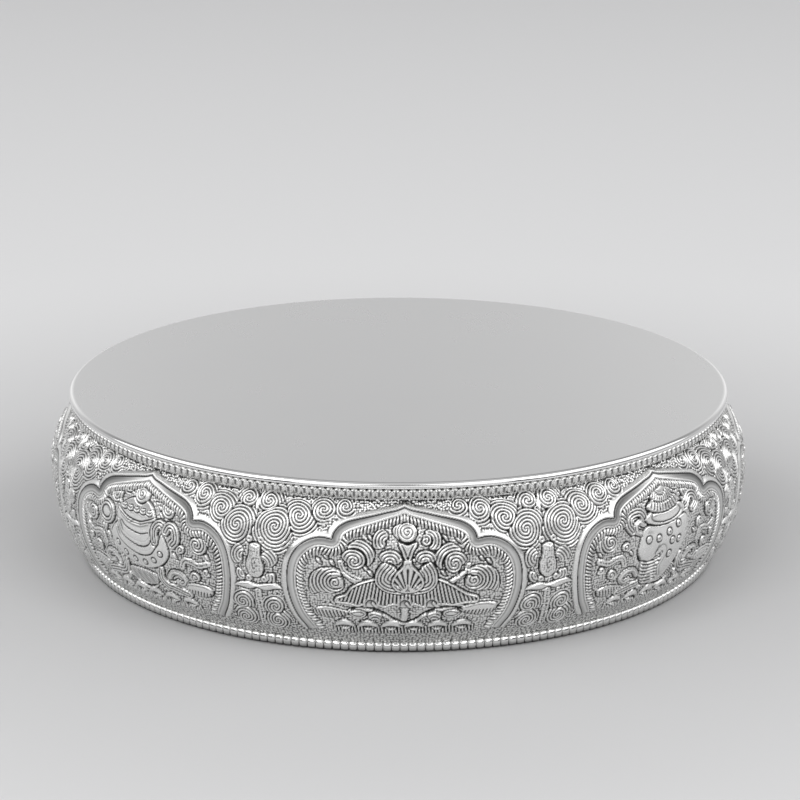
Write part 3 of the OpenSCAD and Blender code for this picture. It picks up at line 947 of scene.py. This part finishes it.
def parasol(h, s, t):
    """The parasol: a ribbed dome, a fringed valance, a pole and two streamers."""
    h = ring(h, s, t, [(0, 9.2), (0, 15.0)], 0.45, 0.34)
    streamer = [(5.6, 15.0), (6.4, 13.4), (5.4, 11.8), (6.2, 10.4)]
    for side in (-1, 1):
        h = ribbon(h, s, t, moved(streamer, 0, 0, side))
    dome = [(-6.6, 16.4), (-5.6, 18.6), (-3.4, 20.3), (0, 21.1), (3.4, 20.3), (5.6, 18.6), (6.6, 16.4),
            (0, 16.0)]
    gap = inside(dome, s, t)
    fan = np.degrees(np.arctan2(s, up(22.5) - t))
    h = lay(h, gap, 0.28 + 0.18 * smooth(gap / 1.6) + 0.12 * ridges(fan / 9.0), cut=0.18)
    hem = [(-6.8, 16.7), (-6.4, 14.9), (-4.4, 15.1), (-2.2, 14.7), (0, 15.1), (2.2, 14.7), (4.4, 15.1),
           (6.4, 14.9), (6.8, 16.7), (0, 16.3)]
    gap = inside(hem, s, t)
    form = np.where(gap < 0.3, 0.42, 0.3 + 0.16 * ridges(s / 0.55))
    h = lay(h, gap, form, cut=0.18)
    return jewel(h, s, t, 0.0, 21.8, 1.2)


def fish(h, s, t):
    """The pair of fish, upright and facing each other."""
    body = [(0.9, 19.3), (2.2, 19.6), (3.7, 18.2), (4.4, 15.8), (3.9, 13.2), (2.9, 11.2), (1.7, 12.8),
            (1.1, 15.2), (0.8, 17.6)]
    tail = [(2.9, 11.6), (4.6, 10.4), (4.9, 9.0), (3.2, 9.7), (1.6, 9.0), (1.7, 10.5)]
    fin = [(4.1, 17.2), (5.7, 16.6), (6.0, 14.6), (4.2, 14.2)]
    for side in (-1, 1):
        x = s * side
        for outline, pitch in ((tail, 0.45), (fin, 0.42)):
            gap = inside(outline, x, t)
            h = lay(h, gap, 0.24 + 0.16 * ridges((x + 0.5 * t) / pitch), cut=0.16)
        gap = inside(body, x, t)
        row = np.floor(t / 0.8)
        scale = np.hypot(((x + 0.5 * (row % 2)) % 1.0) - 0.5, (t / 0.8 - row) * 0.8)
        form = 0.3 + 0.2 * smooth(gap / 1.3) + 0.12 * ridges(scale / 0.55)
        form = np.where(t > up(17.3), 0.34 + 0.18 * smooth(gap / 0.9), form)
        h = lay(h, gap, form, cut=0.2)
        h = cut_line(h, x, t, [(0.7, 17.3), (2.0, 16.9), (3.9, 17.6)], 0.16, 0.16)
        h = dots(h, x, t, [(2.2, 18.5)], 0.5)
    return jewel(h, s, t, 0.0, 21.4, 1.4)


# %% Whole panel
SYMBOLS = {"lotus": lotus, "conch": conch, "knot": knot, "banner": banner, "wheel": wheel,
           "parasol": parasol, "fish": fish, "vase": vase}
COLUMNS = 384
ROWS = 232
SOFT_RISE = 0.44
SPARE_RISE = 0.12
DEEPEST = -0.4
# The frame's channel gets painted shade, and more of it towards the arch's head.
CHANNEL_SHADE_BASE = 0.3
CHANNEL_FADE = 0.9
HEAD_SHADE_EXTRA = 0.5
HEAD_FROM_T = up(17.0)
HEAD_TO_T = up(21.5)
LEDGE_FADE = 0.2
LEDGE_RISE = 0.18
LEDGE_CELL = 0.55
NECK_LINE_DOWN = 0.3
NECK_LINE_HALF = 0.25
NECK_LINE_RISE = 0.2
LOW_FADE = 0.3
TOP_FADE = 0.15
across = np.linspace(-HALF_PITCH, HALF_PITCH, COLUMNS + 1)
upward = np.linspace(LOW_T, SHOULDER_T, ROWS + 1)
T, S = np.meshgrid(upward, across, indexing="ij")
W = np.where(S > 0, S - HALF_PITCH, S + HALF_PITCH)
FRAME_D, FRAME_RUN = frame_depth(S, T)
FRAME_OUT = FRAME_D - HEAD_DROP * np.clip(1 - np.abs(S) / HEAD_HALF, 0, 1)
SPANDREL = spandrel_relief(W, T)
GROUND = field_ground(S, T)
COMPANY = company(GROUND, S, T)
# Painted shade: the frame's channel is darkened in colour, more so towards the arch's head.
in_head = smooth((T - HEAD_FROM_T) / (HEAD_TO_T - HEAD_FROM_T))
CHANNEL_SHADE = smooth(FRAME_OUT / STEP_W) * smooth((MOULD_W - FRAME_D) / CHANNEL_FADE)
CHANNEL_SHADE = CHANNEL_SHADE * smooth((T - up(FRAME_FOOT_Z)) / FOOT_FADE) * (CHANNEL_SHADE_BASE + HEAD_SHADE_EXTRA * in_head)


def panel_relief(symbol):
    """Heights of one panel with its two half spandrels."""
    behind = GROUND if symbol == "lotus" else COMPANY
    h = np.where(FRAME_D > 0, SYMBOLS[symbol](behind, S, T), SPANDREL)
    h = np.where((FRAME_D > FIELD_IN) & (T < up(PETAL_TOP_Z)), petal_row(h, S, T), h)
    h = frame_relief(h, T, FRAME_D, FRAME_OUT, FRAME_RUN)
    ledge = smooth((TURN_T + 0.5 * LEDGE_FADE - T) / LEDGE_FADE)
    h = h + (LEDGE_RISE * stipple(W, T, LEDGE_CELL) - h) * ledge
    h = bead_line(h, np.abs(T - SHOULDER_T + NECK_LINE_DOWN), NECK_LINE_HALF, NECK_LINE_RISE)
    ends = smooth((T - LOW_T) / LOW_FADE) * smooth((SHOULDER_T - T) / TOP_FADE)
    over = np.maximum(h - SOFT_RISE, 0)
    h = np.minimum(h, SOFT_RISE) + SPARE_RISE * np.tanh(over / SPARE_RISE)
    return np.maximum(h, DEEPEST) * ends


print("drawing sheet:", COLUMNS + 1, "by", ROWS + 1, "points a panel")

# %% [markdown]
# ## From drawing to silver
# A grid is bent into a closed loop of the wall's section: up the chased outside, over
# the top of the neck and down the plain inside. The heights push the outside's rows
# along the wall's own normal. Each of the eight panels is a piece of its own, so that
# none has more triangles than its exported file can hold, and its two flat ends close it.

# %% Section of the wall
NECK_TOP_Z = 27.9
INNER_ROWS = 8
CORNER = 0.05


def section():
    """Points round the wall's section, with the normal of each, from the seat upwards."""
    rows = []
    for t in upward:
        if t < TURN_T:
            k = (TURN_T - t) / LEDGE_LENGTH
            nr = (TURN_Z - SEAT_Z) / LEDGE_LENGTH
            nz = -(TURN_R - LEDGE_R) / LEDGE_LENGTH
            rows.append((TURN_R + k * (LEDGE_R - TURN_R), TURN_Z + k * (SEAT_Z - TURN_Z), nr, nz))
        else:
            radius = UPPER_R if t > 0 else LOWER_R
            a = t / radius
            rows.append((BELLY_R - radius + radius * math.cos(a), BELLY_Z + radius * math.sin(a),
                         math.cos(a), math.sin(a)))
    plain = [(NECK_R, SHOULDER_Z + CORNER), (NECK_R, NECK_TOP_Z - CORNER), (NECK_R - CORNER, NECK_TOP_Z),
             (NECK_R - WALL_T + CORNER, NECK_TOP_Z), (NECK_R - WALL_T, NECK_TOP_Z - CORNER)]
    inner_turn = math.acos((NECK_R - WALL_T - BELLY_R + UPPER_R) / (UPPER_R - WALL_T))
    for a in np.linspace(inner_turn, 0, INNER_ROWS):
        plain.append((BELLY_R - UPPER_R + (UPPER_R - WALL_T) * math.cos(a),
                      BELLY_Z + (UPPER_R - WALL_T) * math.sin(a)))
    for a in np.linspace(0, math.asin((BELLY_Z - TURN_Z) / (LOWER_R - WALL_T)), INNER_ROWS)[1:]:
        plain.append((BELLY_R - LOWER_R + (LOWER_R - WALL_T) * math.cos(a),
                      BELLY_Z - (LOWER_R - WALL_T) * math.sin(a)))
    plain += [(LEDGE_R - WALL_T, SEAT_Z + CORNER), (LEDGE_R - WALL_T + CORNER, SEAT_Z), (LEDGE_R, SEAT_Z)]
    rows += [(r, z, 0.0, 0.0) for r, z in plain]
    return np.array(rows)


SECTION = section()
print("section rows:", len(SECTION), "triangles a panel:", 2 * COLUMNS * (len(SECTION) - 1))

# %% Recesses and pieces
RECESS_DEPTH = 0.065
NEAR_CELLS = 2
NEAR_SHARE = 0.8
WIDE_CELLS = 7
WIDE_SHARE = 0.2


def soften(h, half):
    """Mean height over a square of rows and columns round each point."""
    for axis in (0, 1):
        total = np.zeros(h.shape)
        for step in range(-half, half + 1):
            total += np.roll(h, step, axis)
        h = total / (2 * half + 1)
    return h


def make_piece(bm, name, finish, node):
    """Turns a finished bmesh into a piece that rides on the plate and stands for a node."""
    mesh = bpy.data.meshes.new(name)
    bm.to_mesh(mesh)
    bm.free()
    mesh.materials.append(finish)
    obj = bpy.data.objects.new(name, mesh)
    scene.collection.objects.link(obj)
    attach(obj, "root")
    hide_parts(node)
    return obj


# %% Panels
INSIDE_DULL = 0.35
MERGE = 1e-7


def wall_panel(symbol, turn):
    """One chased panel of the wall, turned to its place."""
    h = panel_relief(symbol)
    # Painted shade: the recess darkens the colour where a point lies below the mean height round it, and in
    # the frame's channel.
    around = NEAR_SHARE * soften(h, NEAR_CELLS) + WIDE_SHARE * soften(h, WIDE_CELLS)
    recess = (around - h) / RECESS_DEPTH
    recess = np.clip(np.maximum(recess, 0) + CHANNEL_SHADE, 0, 1)
    bm = bmesh.new()
    rows = len(SECTION) - 1
    bmesh.ops.create_grid(bm, x_segments=COLUMNS, y_segments=rows, size=1.0)
    where = np.array([v.co[:2] for v in bm.verts])
    col = np.rint((where[:, 0] + 1) / 2 * COLUMNS).astype(int)
    row = np.rint((where[:, 1] + 1) / 2 * rows).astype(int)
    lift = np.zeros((rows + 1, COLUMNS + 1))
    lift[:ROWS + 1] = h
    darkening = np.full((rows + 1, COLUMNS + 1), INSIDE_DULL)
    darkening[:ROWS + 1] = recess
    out = lift[row, col]
    r = SECTION[row, 0] + out * SECTION[row, 2]
    z = SECTION[row, 1] + out * SECTION[row, 3]
    a = across[col] / DRAWING_R + turn
    places = np.stack([r * np.sin(a), -r * np.cos(a), z], 1) * MM
    layer = bm.verts.layers.float.new("recess")
    values = darkening[row, col]
    for v, place, value in zip(bm.verts, places, values):
        v.co = place
        v[layer] = value
    seam = [v for v, k in zip(bm.verts, row) if k in (0, rows)]
    bmesh.ops.remove_doubles(bm, verts=seam, dist=MERGE)
    for face in bm.faces:
        face.smooth = True
    ends = bmesh.ops.holes_fill(bm, edges=[e for e in bm.edges if e.is_boundary], sides=0)["faces"]
    for face in ends:
        for edge in face.edges:
            edge.smooth = False
    bmesh.ops.recalc_face_normals(bm, faces=bm.faces)
    return make_piece(bm, "wall_" + symbol, chased_silver, "side_wall")


ORDER = ("lotus", "conch", "knot", "banner", "wheel", "parasol", "fish", "vase")
for number, symbol in enumerate(ORDER):
    panel = wall_panel(symbol, 2 * math.pi / PANELS * number)
    print(panel.name, len(panel.data.polygons), "faces")


# %% [markdown]
# ## Disc and wires
# The disc is a sheet with its edge rounded and turned down, so a half section spun about
# the axis gives it. A beaded wire is round wire rolled under a beading file: a ring whose
# thickness swells and narrows. A grid bent into a ring follows that rule, which needs far
# fewer faces than hundreds of balls and has no seams between them. Shade is painted into
# the wires' colour: in the gaps between beads, as a dark reflection on the crowns of the
# rim's beads, and on the lower side of the foot's wire.

# %% Disc
RIM_R = 56.45
PLATE_Z = 28.5
RIM_Z = 27.6
PLATE_T = 0.6
ROUND_R = 0.75
RIM_CORNER = 0.08
SOLDER = 0.05
PLATE_STEPS = 288
SHARP = math.radians(40)


def weld(bm):
    """Joins a bent mesh where its ends meet and shades it smooth."""
    bmesh.ops.remove_doubles(bm, verts=bm.verts, dist=MERGE)
    bmesh.ops.recalc_face_normals(bm, faces=bm.faces)
    for face in bm.faces:
        face.smooth = True


def spun(outline, steps):
    """A closed lathe shape from a half section of r and z, spun about the axis."""
    bm = bmesh.new()
    verts = [bm.verts.new((r * MM, 0, z * MM)) for r, z in outline]
    edges = [bm.edges.new(pair) for pair in zip(verts[:-1], verts[1:])]
    bmesh.ops.spin(bm, geom=verts + edges, cent=(0, 0, 0), axis=(0, 0, 1), dvec=(0, 0, 0),
                   angle=2 * math.pi, steps=steps, use_merge=True)
    weld(bm)
    return bm


lip = [(0, PLATE_Z), (20, PLATE_Z), (40, PLATE_Z), (RIM_R - ROUND_R - 0.2, PLATE_Z)]
for a in np.linspace(0, math.pi / 2, 9):
    lip.append((RIM_R - ROUND_R + ROUND_R * math.sin(a), PLATE_Z - ROUND_R + ROUND_R * math.cos(a)))
lip += [(RIM_R, RIM_Z + RIM_CORNER), (RIM_R - RIM_CORNER, RIM_Z), (NECK_R + SOLDER + CORNER, RIM_Z),
        (NECK_R + SOLDER, RIM_Z + CORNER), (NECK_R + SOLDER, PLATE_Z - PLATE_T), (40, PLATE_Z - PLATE_T),
        (0, PLATE_Z - PLATE_T)]
bm = spun(lip, PLATE_STEPS)
disc = make_piece(bm, "top_disc", plate_silver, "top_plate")
disc.data.set_sharp_from_angle(angle=SHARP)
print("disc:", len(disc.data.polygons), "faces")

# %% Beaded wires
BEAD_STEPS = 10
BEAD_SIDES = 16
CROWN_LONG = 0.42
CROWN_WIDE = 0.8
# Painted dark reflection on the rim beads' crowns, painted shade in the gaps between beads, and how far
# painted shade reaches up the foot wire's lower side.
CROWN_DARK_REFLECTION = 0.95
GAP_SHADE = 0.35
UNDER_SHADE_REACH = 0.2


def beaded_wire(name, node, ring_r, ring_z, beads, bead_d, neck_d, low_z, high_z, square, tall, pit, under):
    """A ring of wire with beads rolled into it, filed flat at low_z and high_z.

    Square fills the beads out, tall stretches them, pit dips their crowns. Shade is painted
    into the gaps and, as a dark reflection, onto the crowns; under paints it onto the wire's lower side
    instead of the crowns."""
    bm = bmesh.new()
    bmesh.ops.create_grid(bm, x_segments=beads * BEAD_STEPS, y_segments=BEAD_SIDES, size=1.0)
    layer = bm.verts.layers.float.new("recess")
    pitch = 2 * math.pi / beads
    for v in bm.verts:
        a = v.co.x * math.pi
        round_a = v.co.y * math.pi
        off = abs((a / pitch + 0.5) % 1.0 - 0.5) * 2
        fill = (1 - off ** square) ** (1 / square)
        crown = math.exp(-(off / CROWN_LONG) ** 4 - (round_a / CROWN_WIDE) ** 4)
        swell = neck_d / 2 + (bead_d - neck_d) / 2 * fill - pit * crown
        r = ring_r + swell * math.cos(round_a)
        z = min(max(ring_z + tall * swell * math.sin(round_a), low_z), high_z)
        v.co = (r * math.cos(a) * MM, r * math.sin(a) * MM, z * MM)
        # Painted shade: the gaps between beads, plus a dark reflection on the rim beads' crowns, and on the
        # foot, with under, the wire's lower side.
        low = min(max((ring_z - z) / ring_z + UNDER_SHADE_REACH, 0), 1)
        v[layer] = max(1 - fill, low) if under else max(GAP_SHADE * (1 - fill), CROWN_DARK_REFLECTION * crown)
    weld(bm)
    wire = make_piece(bm, name, wire_silver, node)
    print(name, len(wire.data.polygons), "faces")


beaded_wire("rim_beads", "rim_bead_wire", ring_r=55.5, ring_z=26.7, beads=272, bead_d=1.6, neck_d=0.6,
            low_z=25.8, high_z=27.55, square=2.0, tall=1.15, pit=0.04, under=False)
beaded_wire("foot_beads", "foot_bead_wire", ring_r=53.85, ring_z=0.95, beads=256, bead_d=2.2, neck_d=1.4,
            low_z=0.0, high_z=1.9, square=3.6, tall=1.0, pit=0.0, under=True)


# %% [markdown]
# ## Floor, light and camera
# Silver shows little but what stands round it. A floor of pale paper, with a shadow painted
# round the plate that darkens it there, gives the lower wall its tone. Two lamps above, two
# at the sides and a long one in front give the ridges their bright edges. The room between
# them is dim in front and above, paler behind and right overhead, which leaves the grooves
# dark. The camera stands where the photo's outline says it stood: far off, a little above the rim.

# %% Floor
FLOOR_HALF = 4.0
# Painted shadow: the paper is darker round the plate than the even paper farther off.
FLOOR_SHADOW = (0.56, 0.56, 0.563)
FLOOR_FAR = (0.74, 0.74, 0.744)
NEAR_TO = 0.06
FAR_FROM = 0.2
PAPER_ROUGH = 0.85
bm = bmesh.new()
bmesh.ops.create_grid(bm, x_segments=1, y_segments=1, size=FLOOR_HALF)
floor_mesh = bpy.data.meshes.new("floor")
bm.to_mesh(floor_mesh)
bm.free()
floor = bpy.data.objects.new("floor", floor_mesh)
scene.collection.objects.link(floor)
paper = bpy.data.materials.new("pale_paper")
paper.use_nodes = True
paper_shader = paper.node_tree.nodes["Principled BSDF"]
sheet = paper.node_tree.nodes.new("ShaderNodeTexCoord")
off = paper.node_tree.nodes.new("ShaderNodeVectorMath")
off.operation = "LENGTH"
link(paper, sheet.outputs["Object"], off.inputs[0])
# Painted shadow: the paper's colour darkens from FAR_FROM in to NEAR_TO round the plate.
shadow_fade = spread(paper, off.outputs["Value"], 0.0, 1.0, NEAR_TO, FAR_FROM)
shadow_fade.node.interpolation_type = "SMOOTHSTEP"
link(paper, shades(paper, shadow_fade, [(0.0, FLOOR_SHADOW), (1.0, FLOOR_FAR)]), paper_shader.inputs["Base Color"])
paper_shader.inputs["Roughness"].default_value = PAPER_ROUGH
floor_mesh.materials.append(paper)
print("floor:", 2 * FLOOR_HALF, "m wide")

# %% Lamps
AIM = (0, 0, 0.015)
LAMPS = [("lamp_above_left", (-0.56, -0.7, 1.0), (0.8, 0.8), 3.4),
         ("lamp_above_right", (0.56, -0.7, 1.0), (0.8, 0.8), 3.4),
         ("lamp_front", (0.0, -1.1, 0.42), (1.6, 0.5), 2.4),
         ("lamp_left", (-0.95, -0.15, 0.8), (1.6, 0.8), 5.2),
         ("lamp_right", (0.95, -0.15, 0.8), (1.6, 0.8), 5.2)]
for name, where, size, power in LAMPS:
    lamp = bpy.data.lights.new(name, "AREA")
    lamp.shape = "RECTANGLE"
    lamp.size, lamp.size_y = size
    lamp.energy = power
    obj = bpy.data.objects.new(name, lamp)
    obj.location = where
    toward = Vector(AIM) - Vector(where)
    obj.rotation_euler = toward.to_track_quat("-Z", "Y").to_euler()
    scene.collection.objects.link(obj)
print("lamps:", len(LAMPS))

# %% Room
ROOM_FRONT = (0.14, 0.14, 0.142)
ROOM_BACK = (0.66, 0.66, 0.665)
ROOM_ASIDE = (1.0, 1.0, 1.0)
ROOM_FLANK = (0.6, 0.6, 0.604)
ROOM_UPPER = (0.26, 0.26, 0.263)
ROOM_ZENITH = (0.62, 0.62, 0.624)
ROOM_BEHIND = [(0.05, ROOM_BACK), (0.3, ROOM_ASIDE), (0.6, ROOM_FLANK)]
DEPTH_SPAN = (-0.5, 0.5)
UPPER_SPAN = (0.3, 0.6)
ZENITH_SPAN = (0.7, 0.92)


def mixed(owner, factor, first, second):
    """Mixes two colours by a factor, each a plain colour or another node's."""
    node = owner.node_tree.nodes.new("ShaderNodeMix")
    node.data_type = "RGBA"
    link(owner, factor, node.inputs["Factor"])
    for name, colour in (("A", first), ("B", second)):
        if isinstance(colour, tuple):
            node.inputs[name].default_value = (*colour, 1)
        else:
            link(owner, colour, node.inputs[name])
    return node.outputs["Result"]


room = bpy.data.worlds.new("room")
scene.world = room
room.use_nodes = True
toward = room.node_tree.nodes.new("ShaderNodeTexCoord")
split = room.node_tree.nodes.new("ShaderNodeSeparateXYZ")
link(room, toward.outputs["Generated"], split.inputs["Vector"])
aside = room.node_tree.nodes.new("ShaderNodeMath")
aside.operation = "ABSOLUTE"
link(room, split.outputs["X"], aside.inputs[0])
behind = shades(room, aside.outputs["Value"], ROOM_BEHIND)
tone = mixed(room, spread(room, split.outputs["Y"], 0.0, 1.0, *DEPTH_SPAN), ROOM_FRONT, behind)
for colour, span in ((ROOM_UPPER, UPPER_SPAN), (ROOM_ZENITH, ZENITH_SPAN)):
    tone = mixed(room, spread(room, split.outputs["Z"], 0.0, 1.0, *span), tone, colour)
link(room, tone, room.node_tree.nodes["Background"].inputs["Color"])
print("room:", len(room.node_tree.nodes), "nodes")

# %% Camera
VIEW_ANGLE = math.radians(16.0)
ELEVATION = math.radians(16.77)
TURNED = math.radians(0.93)
DISTANCE = 0.491
TARGET_Z = 0.0249
SHIFT = 0.00175
lens = bpy.data.cameras.new("camera")
lens.sensor_fit = "HORIZONTAL"
lens.angle = VIEW_ANGLE
lens.shift_x = SHIFT
lens.clip_start = 0.01
camera = bpy.data.objects.new("camera", lens)
level = DISTANCE * math.cos(ELEVATION)
camera.location = (-level * math.sin(TURNED), -level * math.cos(TURNED),
                   TARGET_Z + DISTANCE * math.sin(ELEVATION))
camera.rotation_euler = (math.pi / 2 - ELEVATION, 0, -TURNED)
scene.collection.objects.link(camera)
scene.camera = camera
scene.view_settings.view_transform = "Standard"
print("camera:", tuple(camera.location))
